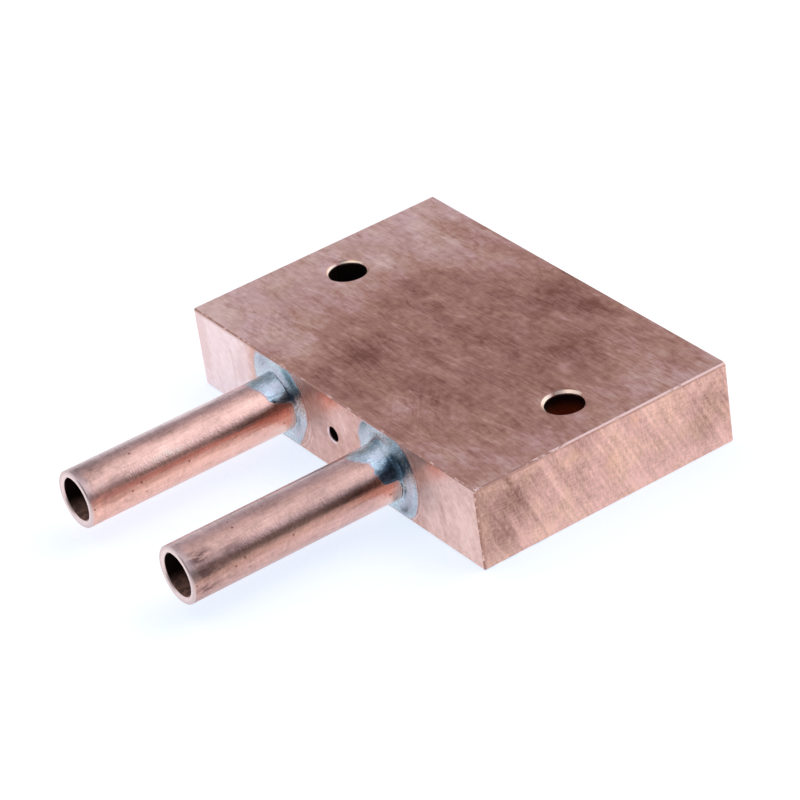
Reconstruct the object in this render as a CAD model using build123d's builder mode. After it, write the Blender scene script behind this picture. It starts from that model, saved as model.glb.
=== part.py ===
"""Liquid heat exchanger: a solid copper block with drilled coolant channels and two soldered copper pipes.

Millimetres, +Z up. The origin is the middle of the block's underside, midway between the two fixing holes.
X runs along the block and -Y is the way the pipes point. The block lies on its wide face.

Coolant comes in at one pipe, runs back through the block, crosses to the other side in a drilled cross
channel near the back, and leaves by the other pipe. The cross channel is drilled in from the left end and
closed there with a soldered plug.
"""

from build123d import *
from math import cos, isclose, radians, sin, tan
import os

# Block
block_length = 63.5
block_width = 40.0
block_height = 12.0
edge_break = 0.2
worn_corner = 0.6

# Fixing holes, straight through from the top, for M5 screws
fixing_pitch = 48.0
fixing_bore = 5.3
fixing_chamfer = 0.35

# Pipes, 8 x 1 mm drawn copper tube
pipe_outside = 8.0
pipe_wall = 1.0
pipe_spacing = 24.0
pipe_stick_out = 32.0
pipe_rim_break = 0.15
pipe_bore_break = 0.2

# Pipe sockets and the solder film round each pipe
socket_depth = 8.0
solder_gap = 0.1

# Temperature probe pocket, drilled in between the pipes
probe_bore = 2.1
probe_depth = 18.0
probe_edge_break = 0.1

# Coolant channels
channel_bore = 6.0
cross_channel_inset = 8.0
drill_point_angle = 118.0

# Plug in the mouth of the cross channel
plug_diameter = 8.0
plug_length = 6.0
plug_mouth_chamfer = 0.5

# Solder on the front face and on the pipes
patch_thickness = 0.12
fillet_radius = 0.8
tongue_thickness = 0.08

# What differs between the two solder joints. The patch is a round pool of solder, a little off the pipe's
# axis, with a horn drawn up to the block's top edge where it was wiped. The tongue is the tinned top of the
# pipe: how far the tinning runs out from the face, in millimetres, at each angle round the pipe from +X.
joints = {
    "inlet": dict(
        side=-1,
        patch_radius=6.1,
        patch_shift=-0.3,
        horn_angle=156.0,
        horn_reach=3.9,
        tongue=((22, 0.0), (38, 3.5), (75, 3.6), (105, 4.5), (140, 3.2), (160, 0.0)),
    ),
    "outlet": dict(
        side=1,
        patch_radius=6.35,
        patch_shift=0.25,
        horn_angle=161.0,
        horn_reach=4.5,
        tongue=((10, 0.0), (14, 2.9), (55, 3.6), (92, 5.4), (135, 4.0), (165, 0.0)),
    ),
}

# Sizes that follow from those
mid_height = block_height / 2
pipe_radius = pipe_outside / 2
pipe_bore_radius = pipe_radius - pipe_wall
socket_radius = pipe_radius + solder_gap
plug_radius = plug_diameter / 2
plug_seat_radius = plug_radius + solder_gap
cross_channel_y = block_width / 2 - cross_channel_inset
flat_height = block_height - 2 * edge_break

# The faces that are drilled, each seen from outside: x to the right and y up
front_face = Plane(origin=(0, -block_width / 2, 0), x_dir=(1, 0, 0), z_dir=(0, -1, 0))
left_face = Plane(origin=(-block_length / 2, 0, 0), x_dir=(0, -1, 0), z_dir=(-1, 0, 0))


def axial_section(face, x, y):
    """The plane through the axis of a hole at (x, y) on a face: across the hole, and out of the face."""
    mouth = face.from_local_coords(Vector(x, y, 0))
    return Plane(origin=mouth, x_dir=face.x_dir, z_dir=face.x_dir.cross(face.z_dir))


def drill(face, x, y, radius, depth):
    """Cut a round hole with a drill's pointed end into the part, from (x, y) on a face."""
    section = axial_section(face, x, y)
    point = radius / tan(radians(drill_point_angle / 2))
    with BuildSketch(section) as half_hole:
        with BuildLine():
            Polyline((0, 0), (radius, 0), (radius, -depth), (0, -depth - point), close=True)
        make_face()
    revolve(half_hole.sketch, axis=Axis(section.origin, section.y_dir), mode=Mode.SUBTRACT)


def rims(part, radius):
    """The part's round edges of one radius."""
    circles = part.edges().filter_by(GeomType.CIRCLE)
    return circles.filter_by(lambda edge: isclose(edge.radius, radius, abs_tol=1e-6))


os.makedirs("parts", exist_ok=True)

# The block, its holes, its pipe sockets and its coolant channels
with BuildPart() as block:
    with BuildSketch(Plane.XY):
        Rectangle(block_length, block_width)
    extrude(amount=block_height)
    chamfer(block.edges(), length=edge_break)

    # The top corner at the back right is knocked off
    corner = Vector(block_length / 2, block_width / 2, block_height)
    wear_plane = Plane(origin=corner - Vector(1, 1, 1) * worn_corner / 3, z_dir=(1, 1, 1))
    split(bisect_by=wear_plane, keep=Keep.BOTTOM)

    with GridLocations(fixing_pitch, 0, 2, 1):
        Hole(radius=fixing_bore / 2)
    chamfer(rims(block, fixing_bore / 2), length=fixing_chamfer)

    for joint in joints.values():
        pipe_x = joint["side"] * pipe_spacing / 2
        with BuildSketch(front_face):
            with Locations((pipe_x, mid_height)):
                Circle(socket_radius)
        extrude(amount=-socket_depth, mode=Mode.SUBTRACT)
        drill(front_face, pipe_x, mid_height, channel_bore / 2, block_width / 2 + cross_channel_y)

    drill(
        left_face,
        -cross_channel_y,
        mid_height,
        channel_bore / 2,
        block_length / 2 + pipe_spacing / 2,
    )
    with BuildSketch(left_face):
        with Locations((-cross_channel_y, mid_height)):
            Circle(plug_seat_radius)
    extrude(amount=-plug_length, mode=Mode.SUBTRACT)
    chamfer(rims(block, plug_seat_radius).sort_by(Axis.X)[0], length=plug_mouth_chamfer)

    drill(front_face, 0, mid_height, probe_bore / 2, probe_depth)
    chamfer(rims(block, probe_bore / 2).sort_by(Axis.Y)[0], length=probe_edge_break)

block.part.label = "block"
export_step(block.part, "parts/block.step")

# The two pipes, each seated on the shoulder at the bottom of its socket
for name, joint in joints.items():
    pipe_x = joint["side"] * pipe_spacing / 2
    with BuildPart() as pipe:
        with BuildSketch(front_face.offset(-socket_depth)):
            with Locations((pipe_x, mid_height)):
                Circle(pipe_radius)
                Circle(pipe_bore_radius, mode=Mode.SUBTRACT)
        extrude(amount=socket_depth + pipe_stick_out)
        chamfer(rims(pipe, pipe_radius).sort_by(Axis.Y)[0], length=pipe_rim_break)
        chamfer(rims(pipe, pipe_bore_radius).sort_by(Axis.Y)[0], length=pipe_bore_break)
    pipe.part.label = f"{name}_pipe"
    export_step(pipe.part, f"parts/{name}_pipe.step")

# The two solder joints: tinned tongue, film in the socket, pool on the face, and the fillet between them
for name, joint in joints.items():
    pipe_x = joint["side"] * pipe_spacing / 2
    pool_x = pipe_x + joint["patch_shift"]
    pool_radius = joint["patch_radius"]
    horn_angle = radians(joint["horn_angle"])
    pool_top = block_height - edge_break
    with BuildPart() as solder:
        with BuildSketch(front_face):
            with Locations((pipe_x, mid_height)):
                Circle(pipe_radius + tongue_thickness)
                Circle(pipe_radius, mode=Mode.SUBTRACT)
        extrude(amount=max(length for angle, length in joint["tongue"]) + fillet_radius)
        with BuildSketch(Plane.XY.offset(mid_height)):
            with BuildLine():
                edge_points = [
                    (
                        pipe_x + (pipe_radius + tongue_thickness) * cos(radians(angle)),
                        -block_width / 2 - length,
                    )
                    for angle, length in joint["tongue"]
                ]
                Spline(*edge_points)
                Line(edge_points[-1], edge_points[0])
            make_face()
        extrude(amount=pipe_radius + tongue_thickness, mode=Mode.INTERSECT)

        with BuildSketch(front_face):
            with Locations((pipe_x, mid_height)):
                Circle(socket_radius)
                Circle(pipe_radius, mode=Mode.SUBTRACT)
        extrude(amount=-socket_depth)

        with BuildSketch(front_face):
            with Locations((pool_x, mid_height)):
                Circle(pool_radius)
            with BuildLine():
                Polyline(
                    (pool_x, mid_height),
                    (
                        pool_x + pool_radius * cos(horn_angle),
                        mid_height + pool_radius * sin(horn_angle),
                    ),
                    (pool_x - joint["horn_reach"], pool_top),
                    (pool_x, pool_top),
                    close=True,
                )
            make_face()
            with Locations((0, mid_height)):
                Rectangle(block_length - 2 * edge_break, flat_height, mode=Mode.INTERSECT)
            with Locations((pipe_x, mid_height)):
                Circle(pipe_radius, mode=Mode.SUBTRACT)
        extrude(amount=patch_thickness)

        section = axial_section(front_face, pipe_x, mid_height)
        with BuildSketch(section):
            with BuildLine():
                foot = (pipe_radius + fillet_radius, patch_thickness)
                crest = (pipe_radius, patch_thickness + fillet_radius)
                root = (pipe_radius, patch_thickness)
                RadiusArc(foot, crest, fillet_radius)
                Polyline(crest, root, foot)
            make_face()
        revolve(axis=Axis(section.origin, section.y_dir))
    solder.part.label = f"{name}_solder_joint"
    export_step(solder.part, f"parts/{name}_solder_joint.step")

# The plug that closes the cross channel, flush with the left end
with BuildPart() as channel_plug:
    with BuildSketch(left_face.offset(-plug_length)):
        with Locations((-cross_channel_y, mid_height)):
            Circle(plug_radius)
    extrude(amount=plug_length)

channel_plug.part.label = "channel_plug"
export_step(channel_plug.part, "parts/channel_plug.step")

# The solder that seals the plug: a film along its side that fills the chamfer at the mouth
with BuildPart() as plug_solder_ring:
    ring_section = axial_section(left_face, -cross_channel_y, mid_height)
    with BuildSketch(ring_section):
        with BuildLine():
            Polyline(
                (plug_radius, 0),
                (plug_radius, -plug_length),
                (plug_seat_radius, -plug_length),
                (plug_seat_radius, -plug_mouth_chamfer),
                (plug_seat_radius + plug_mouth_chamfer, 0),
                close=True,
            )
        make_face()
    revolve(axis=Axis(ring_section.origin, ring_section.y_dir))

plug_solder_ring.part.label = "plug_solder_ring"
export_step(plug_solder_ring.part, "parts/plug_solder_ring.step")
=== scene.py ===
"""Liquid heat exchanger: its copper finishes, its two solder joints, and a plain studio to show it in.

Everything stands in the frame's own axes, in metres: +Z up, X along the block, the pipes pointing to -Y.
Inside the materials, and in the tables of patches and joints, lengths are in millimetres.
"""

from math import cos, pi, radians, sin

import bpy
import numpy as np
from bpy.props import FloatProperty, FloatVectorProperty, PointerProperty
from mathutils import Matrix, Vector


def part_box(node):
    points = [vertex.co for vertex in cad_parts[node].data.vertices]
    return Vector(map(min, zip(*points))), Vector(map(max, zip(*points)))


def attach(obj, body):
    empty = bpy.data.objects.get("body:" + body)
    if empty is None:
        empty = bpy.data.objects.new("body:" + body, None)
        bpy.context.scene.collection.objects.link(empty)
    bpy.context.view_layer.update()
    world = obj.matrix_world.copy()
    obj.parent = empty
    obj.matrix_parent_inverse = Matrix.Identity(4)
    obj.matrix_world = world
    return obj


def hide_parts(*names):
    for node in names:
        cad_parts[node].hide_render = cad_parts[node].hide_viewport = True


bl_info = {
    "name": "Liquid heat exchanger",
    "version": (1, 0, 0),
    "blender": (4, 5, 0),
    "location": "View3D > Sidebar > Heat exchanger",
    "description": "Copper finishes, solder joints and a studio for a drilled copper block with two pipes",
    "category": "Object",
}

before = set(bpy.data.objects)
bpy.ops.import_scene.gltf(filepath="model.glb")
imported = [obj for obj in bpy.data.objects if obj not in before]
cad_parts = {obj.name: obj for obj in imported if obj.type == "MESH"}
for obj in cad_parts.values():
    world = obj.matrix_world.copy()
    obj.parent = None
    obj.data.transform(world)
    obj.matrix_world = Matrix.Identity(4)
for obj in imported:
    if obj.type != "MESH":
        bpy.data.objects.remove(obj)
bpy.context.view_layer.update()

MM = 0.001

# Places and sizes read from the frame, in metres
block_low, block_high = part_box("block")
pipe_boxes = {name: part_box(f"{name}_pipe") for name in ("inlet", "outlet")}
pipe_axis_x = {name: (low.x + high.x) / 2 for name, (low, high) in pipe_boxes.items()}
pipe_low, pipe_high = pipe_boxes["inlet"]
pipe_axis_z = (pipe_low.z + pipe_high.z) / 2
pipe_radius = (pipe_high.x - pipe_low.x) / 2

# The same in millimetres for the materials: the block's right end, front and top, and the pipes' free ends
right_end = round(block_high.x / MM, 3)
front = round(block_low.y / MM, 3)
top = round(block_high.z / MM, 3)
free_end = round(pipe_low.y / MM, 3)

# The two fixing holes, in millimetres: how far each is from the middle of the block, their radius, and the
# width of their lips. Then the radius of the probe hole, with its edge
hole_x = 24.0
hole_radius = 2.65
lip_width = 0.42
probe_radius = 1.06


def a_colour(name, description, default):
    """A colour property."""
    return FloatVectorProperty(name=name, description=description, default=default, subtype="COLOR", size=3)


def a_length(name, description, millimetres):
    """A length property, given in millimetres and kept in metres."""
    return FloatProperty(name=name, description=description, default=millimetres * MM, unit="LENGTH")


def an_angle(name, description, degrees):
    """An angle property, given in degrees."""
    return FloatProperty(name=name, description=description, default=radians(degrees), subtype="ANGLE")


def a_number(name, description, default):
    """A property that is a plain number, not below zero."""
    return FloatProperty(name=name, description=description, default=default, min=0)


class SolderSettings(bpy.types.PropertyGroup):
    edge_thickness: a_length("Edge thickness", "Thickness of the solder at the pool's outer edge", 0.025)
    edge_margin: a_length("Edge margin", "How far the pool stays inside the face's top and bottom", 0.2)
    pool_power: a_number("Pool hollow", "Power of the pool's fall to its edge: 1 is a cone", 1.6)
    swell_length: a_length("Swell length", "How far out along the pipe the tinning swells", 2.8)
    tongue_thickness: a_length("Tinning thickness", "Thickness of the solder on top of the pipe", 0.05)
    tip_thickness: a_length("Tip thickness", "Thickness where the tinning thins out", 0.012)
    soft_tip: a_length("Soft tip", "Length over which the tinning fades into the pipe's copper", 0.9)
    soft_edge: a_length("Soft edge", "Width over which the pool fades into the block's copper", 0.35)
    socket_clearance: a_length("Socket film", "Thickness of the film between pipe and socket", 0.1)
    colour: a_colour("Solder", "Colour of the clean solder", (0.56, 0.67, 0.72))
    bloom_colour: a_colour("Teal bloom", "Colour where the solder has a teal bloom", (0.28, 0.42, 0.46))
    # Lilac stains, partly painted highlights on the solder
    stain_and_highlight_colour: a_colour("Lilac stain", "Colour where flux has left a lilac cast", (0.83, 0.86, 0.97))
    # Navy, partly tarnish and partly painted dark reflection and shade
    tarnish_and_reflection: a_colour("Navy tarnish", "Colour of the darkest solder", (0.085, 0.14, 0.20))
    # Dark specks, and dark lines along the crease that are partly painted shade
    dirt_and_shade_colour: a_colour("Dirt", "Colour of the dark specks and lines in the solder", (0.06, 0.06, 0.07))
    fringe_colour: a_colour("Fringe", "Thin solder where copper shows through", (0.66, 0.47, 0.47))
    roughness: a_number("Roughness", "Roughness of the smooth solder", 0.16)


class CopperSettings(bpy.types.PropertyGroup):
    sanded_dark: a_colour("Sanded, dark", "Darkest copper of the top and underside", (0.285, 0.115, 0.08))
    # Also the colour of the painted dark band on the outlet pipe
    sanded_brown_and_band_shade: a_colour("Sanded, middle", "Brown between the two, also on a pipe", (0.606, 0.33, 0.257))
    sanded_pale: a_colour("Sanded, pale", "Palest copper of the top and underside", (0.98, 0.72, 0.66))
    milled_dark: a_colour("Milled, dark", "Darkest copper of the front and back", (0.56, 0.28, 0.22))
    milled_pale: a_colour("Milled, pale", "Palest copper of the front and back", (1.0, 0.68, 0.60))
    # Pale copper and painted reflection at the front's left end, and painted highlight on the probe hole's
    # lip and the pipes' shoulders
    pale_copper_and_sheen: a_colour("Milled, left", "Pale copper left of the inlet pipe", (0.96, 0.765, 0.775))
    end_dark: a_colour("Ends, dark", "Darkest copper of the two ends", (0.22, 0.10, 0.075))
    end_pale: a_colour("Ends, pale", "Palest copper of the two ends", (0.97, 0.59, 0.49))
    end_warm: a_colour("Ends, warm", "Orange cast in a few spots on the ends", (0.86, 0.48, 0.30))
    mauve_cast: a_colour("Mauve cast", "What mauve copper is multiplied by", (0.99, 0.975, 1.015))
    olive_cast: a_colour("Olive cast", "What olive copper is multiplied by", (1.01, 1.02, 0.98))
    worn_dark: a_colour("Edges, dark", "Copper in the dark stretches of the edges", (0.45, 0.235, 0.19))
    # Bright burrs on the edges, partly painted highlight
    burr_and_highlight: a_colour("Edges, bright", "Copper of the rubbed burrs", (0.93, 0.62, 0.55))
    flux_colour: a_colour("Flux", "Dark lines of flux round the solder", (0.36, 0.22, 0.20))
    # Painted highlight beside the dark flux rings
    ring_highlight: a_colour("Flux, pale", "Pale lines of flux round the solder", (1.0, 0.74, 0.68))
    # Painted highlight on the lips of the holes
    lip_highlight: a_colour("Lips", "Fresh copper on the lips of the holes", (1.0, 0.77, 0.63))
    # Painted shade: near black inside the holes and the pipes' bores
    bore_shade: a_colour("Bores", "Dark copper inside the holes and the pipes", (0.018, 0.008, 0.006))
    # A painted warm glow low in the right fixing hole
    bore_glow_colour: a_colour("Bore glow", "Warm copper low in the right fixing hole", (0.44, 0.09, 0.03))
    # Painted light along the bottom of the pipes' bores
    lit_bore_floor: a_colour("Bore floor", "Brown along the bottom of the pipes' bores", (0.95, 0.52, 0.42))
    # The pipes' upper and under colours are copies of one copper: the under ones paint how the light falls
    # low on the pipes
    inlet_upper: a_colour("Inlet pipe", "Copper along the inlet pipe's top", (0.94, 0.55, 0.445))
    inlet_under: a_colour("Inlet pipe, under", "Redder copper low on the inlet pipe", (0.87, 0.505, 0.42))
    # Painted dark reflection: the brown band low on the inlet pipe's side
    inlet_band_shade: a_colour("Inlet pipe, band", "Brown band low on the inlet pipe's side", (0.75, 0.38, 0.29))
    outlet_upper: a_colour("Outlet pipe", "Copper along the outlet pipe's top", (0.66, 0.385, 0.31))
    outlet_under: a_colour("Outlet pipe, under", "Redder copper low on the pipe", (0.67, 0.395, 0.345))
    # Tarnish that is partly a painted sheen on the pipes; on the solder the same name holds painted dark
    # reflection
    tarnish_and_reflection: a_colour("Pipe tarnish", "Tarnish along the pipes' upper left", (0.76, 0.55, 0.52))
    smudge_colour: a_colour("Pipe smudges", "Brown smudges at the free ends", (0.25, 0.135, 0.12))
    pit_colour: a_colour("Pits", "Small dark pits in the pipes", (0.22, 0.08, 0.07))
    rim_colour: a_colour("Pipe rims", "Fresh copper at the bore of the cut ends", (0.95, 0.74, 0.71))
    rim_grey: a_colour("Pipe rims, grey", "Dull copper outside on the cut ends", (0.72, 0.55, 0.53))


class StudioSettings(bpy.types.PropertyGroup):
    camera_azimuth: an_angle("Camera azimuth", "Direction of view: 0 is +Y, 90 is -X", 58.98270)
    camera_elevation: an_angle("Camera elevation", "Height of the camera above the horizon", 31.82277)
    camera_roll: an_angle("Camera roll", "Turn of the camera about its line of sight", -8.69077)
    camera_position: FloatVectorProperty(
        name="Camera position",
        description="Where the camera stands",
        default=(0.36929362, -0.23137206, 0.27361660),
        subtype="TRANSLATION",
        size=3,
    )
    camera_lens: a_number("Focal length", "Focal length of the camera, in millimetres", 175.7684)
    sensor_width: a_number("Sensor width", "Width of the camera's sensor, in millimetres", 36.0)
    floor_reach: a_length("Floor reach", "Half of the floor's side", 3000.0)
    shadow_colour: a_colour("Floor in shadow", "Floor where no light reaches it", (0.60, 0.76, 0.91))
    lit_colour: a_colour("Light on the floor", "Share of the light that the floor adds", (0.60, 0.40, 0.25))
    bounce_colour: a_colour("Bounce", "The floor as it lights what stands on it", (0.8, 0.8, 0.82))
    sheen_colour: a_colour("Sheen", "How the floor tints the room in it", (0.9, 0.9, 0.9))
    sheen_roughness: a_number("Sheen roughness", "How far the floor blurs the room in it", 0.12)
    sheen_index: a_number("Sheen index", "Index of refraction behind the floor's sheen", 1.7)
    key_power: a_number("Key power", "Power of the lamp at the back on the right, in watts", 0.6)
    key_colour: a_colour("Key", "Colour of the lamp at the back on the right", (0.86, 0.96, 1.0))
    fill_power: a_number("Fill power", "Power of the wide lamp overhead, in watts", 1.2)
    fill_colour: a_colour("Fill", "Colour of the wide lamp overhead", (1.0, 1.0, 1.0))
    softbox_colour: a_colour("Softbox", "Bright ceiling that the metal reflects", (1.08, 1.20, 1.40))
    glint_colour: a_colour("Small lamps", "The two lamps that glint on the lips", (1.7, 1.7, 1.7))
    wall_colour: a_colour("Walls", "Walls on the left and at the back", (0.49, 0.45, 0.495))
    low_wall_colour: a_colour("Walls, low", "The same walls near the floor", (1.0, 1.02, 1.08))
    window_colour: a_colour("Window", "Bright window in front on the left", (0.85, 0.90, 0.98))
    right_colour: a_colour("Right side", "Room on the right and in front", (0.24, 0.24, 0.26))
    dark_colour: a_colour("Dark side", "Darkest part of the right side", (0.02, 0.035, 0.055))
    background_colour: a_colour("Background", "What the camera sees behind the floor", (1.0, 1.0, 1.0))


class Nodes:
    """Adds shader nodes to one tree and joins them. Values are numbers, colours or other nodes' outputs."""

    def __init__(self, tree):
        self.tree = tree

    def feed(self, socket, value):
        if isinstance(value, bpy.types.NodeSocket):
            self.tree.links.new(value, socket)
        elif socket.type == "RGBA" and len(value) == 3:
            socket.default_value = (*value, 1)
        else:
            socket.default_value = value

    def add(self, kind, inputs=None, **settings):
        node = self.tree.nodes.new(kind)
        for name, value in settings.items():
            setattr(node, name, value)
        for name, value in (inputs or {}).items():
            self.feed(node.inputs[name], value)
        return node

    def math(self, operation, *values, clamp=False):
        inputs = dict(enumerate(values))
        return self.add("ShaderNodeMath", inputs, operation=operation, use_clamp=clamp).outputs[0]

    def product(self, *values):
        result = values[0]
        for value in values[1:]:
            result = self.math("MULTIPLY", result, value)
        return result

    def total(self, *parts, plus=0.0):
        """The sum of values, each given with its weight, and of one number."""
        result = plus
        for value, weight in parts:
            result = self.math("MULTIPLY_ADD", value, weight, result)
        return result

    def vector(self, operation, *values):
        node = self.add("ShaderNodeVectorMath", operation=operation)
        for place, value in enumerate(values):
            socket = node.inputs["Scale"] if operation == "SCALE" and place == 1 else node.inputs[place]
            self.feed(socket, value)
        return node.outputs["Value" if operation == "LENGTH" else "Vector"]

    def split(self, vector):
        return self.add("ShaderNodeSeparateXYZ", {0: vector}).outputs

    def join(self, x, y, z=0.0):
        return self.add("ShaderNodeCombineXYZ", {0: x, 1: y, 2: z}).outputs[0]

    def mapping(self, vector, scale=(1, 1, 1), turn=0, location=(0, 0, 0)):
        """The vector scaled along each axis, then turned about Z by an angle in degrees, then moved."""
        inputs = {"Vector": vector, "Scale": scale, "Rotation": (0, 0, radians(turn)), "Location": location}
        return self.add("ShaderNodeMapping", inputs).outputs[0]

    def mix(self, factor, first, second, blend="MIX"):
        inputs = {0: factor, 6: first, 7: second}
        return self.add("ShaderNodeMix", inputs, data_type="RGBA", blend_type=blend).outputs[2]

    def noise(self, place, scale, detail=2.0, roughness=0.5, distortion=0.0):
        """Noise between 0 and 1. The scale is one number, or one for each axis."""
        if isinstance(scale, tuple):
            place, scale = self.vector("MULTIPLY", place, scale), 1.0
        inputs = {"Vector": place, "Scale": scale, "Detail": detail, "Roughness": roughness}
        inputs["Distortion"] = distortion
        return self.add("ShaderNodeTexNoise", inputs).outputs[0]

    def uneven(self, *arguments):
        """The same noise about zero."""
        return self.math("SUBTRACT", self.noise(*arguments), 0.5)

    def step(self, value, low, high, to_low=0.0, to_high=1.0):
        """A smooth step of the value: to_low up to low, and to_high from high on."""
        inputs = {"Value": value, "From Min": low, "From Max": high, "To Min": to_low, "To Max": to_high}
        return self.add("ShaderNodeMapRange", inputs, interpolation_type="SMOOTHSTEP", clamp=True).outputs[0]

    def fall(self, value, low, high):
        """A smooth step down: 1 up to low, and 0 from high on."""
        return self.step(value, low, high, 1.0, 0.0)

    def band(self, value, low, high, soft):
        """A mask that is 1 between low and high, with soft flanks outside them."""
        return self.product(self.step(value, low - soft, low), self.fall(value, high, high + soft))

    def spots(self, place, ellipsoids, soft=0.8):
        """The sum of soft ellipsoids (centre, half sizes, strength), 1 in the middle and 0 at the surface."""
        parts = []
        for centre, size, strength in ellipsoids:
            away = self.vector("DIVIDE", self.vector("SUBTRACT", place, centre), size)
            parts.append((self.fall(self.vector("LENGTH", away), 1.0 - soft, 1.0), strength))
        return self.total(*parts)

    def group(self, name, inputs):
        """The outputs of a node group with these inputs."""
        return self.add("ShaderNodeGroup", inputs, node_tree=bpy.data.node_groups[name]).outputs

    def scratches(self, place, angle, across, along, broad=0.35, output="Height"):
        """Fine lines that lie in the first two axes of a place, turned by an angle in degrees."""
        turned = self.mapping(place, turn=angle)
        inputs = {"Vector": turned, "Across": across, "Along": along, "Broad share": broad}
        return self.group("Fine scratches", inputs)[output]


def new_group(name, inputs, outputs):
    """An empty node group that takes a vector and numbers and puts out numbers: its nodes and its inputs."""
    tree = bpy.data.node_groups.new(name, "ShaderNodeTree")
    tree.interface.new_socket("Vector", in_out="INPUT", socket_type="NodeSocketVector")
    for socket, default in inputs.items():
        number = tree.interface.new_socket(socket, in_out="INPUT", socket_type="NodeSocketFloat")
        number.default_value = default
    for socket in outputs:
        tree.interface.new_socket(socket, in_out="OUTPUT", socket_type="NodeSocketFloat")
    nodes = Nodes(tree)
    return nodes, nodes.add("NodeGroupInput").outputs


def make_scratch_group():
    """Fine lines from two stretched noises: a mask, a height, and thin lines where the broad one is half."""
    inputs = {"Across": 5.0, "Along": 0.08, "Broad share": 0.35}
    nodes, given = new_group("Fine scratches", inputs, ("Mask", "Height", "Lines"))
    fine_scale = nodes.join(given["Along"], given["Across"], given["Across"])
    lines = nodes.noise(nodes.vector("MULTIPLY", given["Vector"], fine_scale), 1.0, 3.0, 0.65)
    broad_scale = nodes.vector("SCALE", fine_scale, 0.28)
    broad = nodes.noise(nodes.vector("MULTIPLY", given["Vector"], broad_scale), 1.0, 2.0, 0.5)
    both = nodes.math("MULTIPLY_ADD", nodes.math("SUBTRACT", broad, lines), given["Broad share"], lines)
    from_half = nodes.math("ABSOLUTE", nodes.math("SUBTRACT", broad, 0.5))
    outputs = {
        "Mask": nodes.step(both, 0.42, 0.62),
        "Height": nodes.math("SUBTRACT", both, 0.5),
        "Lines": nodes.fall(from_half, 0.0, 0.022),
    }
    nodes.add("NodeGroupOutput", outputs)


def make_speck_group():
    """Small dark specks: cells of a grid with a jittered dot in each, most of them left out."""
    nodes, given = new_group("Specks", {"Spacing": 1.2, "Radius": 0.12, "Share": 0.3}, ("Mask",))
    scale = nodes.math("DIVIDE", 1.0, given["Spacing"])
    inputs = {"Vector": given["Vector"], "Scale": scale, "Randomness": 1.0}
    cells = nodes.add("ShaderNodeTexVoronoi", inputs).outputs
    from_centre = nodes.product(cells["Distance"], given["Spacing"])
    inside = nodes.math("SUBTRACT", 1.0, nodes.math("DIVIDE", from_centre, given["Radius"]), clamp=True)
    chosen = nodes.math("LESS_THAN", nodes.split(cells["Color"])[0], given["Share"])
    soft = nodes.math("SMOOTH_MIN", nodes.product(inside, 2.0), 1.0, 0.1)
    nodes.add("NodeGroupOutput", {"Mask": nodes.math("MULTIPLY", soft, chosen, clamp=True)})


def new_nodes(owner):
    """The nodes of a material or a world, cleared."""
    owner.use_nodes = True
    owner.node_tree.nodes.clear()
    return Nodes(owner.node_tree)


def new_metal(name):
    """A material, its nodes, and Object coordinates in millimetres."""
    material = bpy.data.materials.new(name)
    nodes = new_nodes(material)
    metres = nodes.add("ShaderNodeTexCoord").outputs["Object"]
    return material, nodes, nodes.mapping(metres, (1 / MM, 1 / MM, 1 / MM))


def finish_metal(nodes, colour, roughness, metallic, height, depth, strength):
    """Ends a material with one Principled BSDF. The height shapes its surface, to a depth in millimetres."""
    bump = nodes.add("ShaderNodeBump", {"Height": height, "Distance": depth * MM, "Strength": strength})
    inputs = {"Base Color": colour, "Roughness": roughness, "Metallic": metallic, "Normal": bump.outputs[0]}
    shader = nodes.add("ShaderNodeBsdfPrincipled", inputs)
    nodes.add("ShaderNodeOutputMaterial", {"Surface": shader.outputs[0]})


def dress(node, material):
    """Puts a material in every slot of a piece of the frame."""
    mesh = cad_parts[node].data
    mesh.materials.clear()
    mesh.materials.append(material)


def flat_patches(axis, level, *rows, depth=5):
    """Ellipsoids at one level of an axis, "x", "y" or "z", with one half size along it, for Nodes.spots.

    Each row gives the centre and the half sizes along the other two axes, and the strength.
    """
    patches = []
    for first, second, half_first, half_second, strength in rows:
        centre = [first, second]
        size = [half_first, half_second]
        centre.insert("xyz".index(axis), level)
        size.insert("xyz".index(axis), depth)
        patches.append((centre, size, strength))
    return patches


# Patches on the block, where the copper is darker (-) or paler (+)
top_patches = flat_patches(
    "z", top,
    (-5.0, -9.0, 4.5, 7.0, -0.12), (-3.6, -10.9, 3.6, 3.2, -0.10), (9.6, 17.5, 5.0, 2.8, -0.20),
    (13.4, 9.5, 4.5, 5.0, -0.14), (4.8, 2.4, 4.0, 2.6, -0.14), (-22.5, 17.0, 7.5, 4.0, -0.26),
    (-13.0, 2.5, 5.0, 6.0, -0.12), (25.0, -7.0, 4.5, 3.0, -0.10), (27.8, -15.5, 5.0, 7.0, -0.20),
    (20.0, 3.0, 3.0, 6.0, -0.08), (13.2, -8.6, 3.6, 1.6, -0.12), (-2.2, -17.7, 5.0, 2.4, -0.10),
    (-10.0, -16.5, 5.5, 4.0, 0.12), (5.0, 7.5, 6.0, 3.0, 0.06), (-14.0, 6.5, 5.0, 1.6, -0.10),
    (-20.4, 10.0, 5.5, 3.6, 0.12), (27.5, 10.0, 5.0, 4.5, 0.12), (-7.0, 15.5, 9.0, 5.5, 0.16),
    (3.0, 15.0, 10.0, 6.0, -0.16), (3.0, -7.3, 6.5, 2.2, 0.12), (9.5, -14.0, 4.5, 3.6, 0.12),
    (-15.0, -16.0, 7.0, 4.5, 0.12),
)
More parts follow.
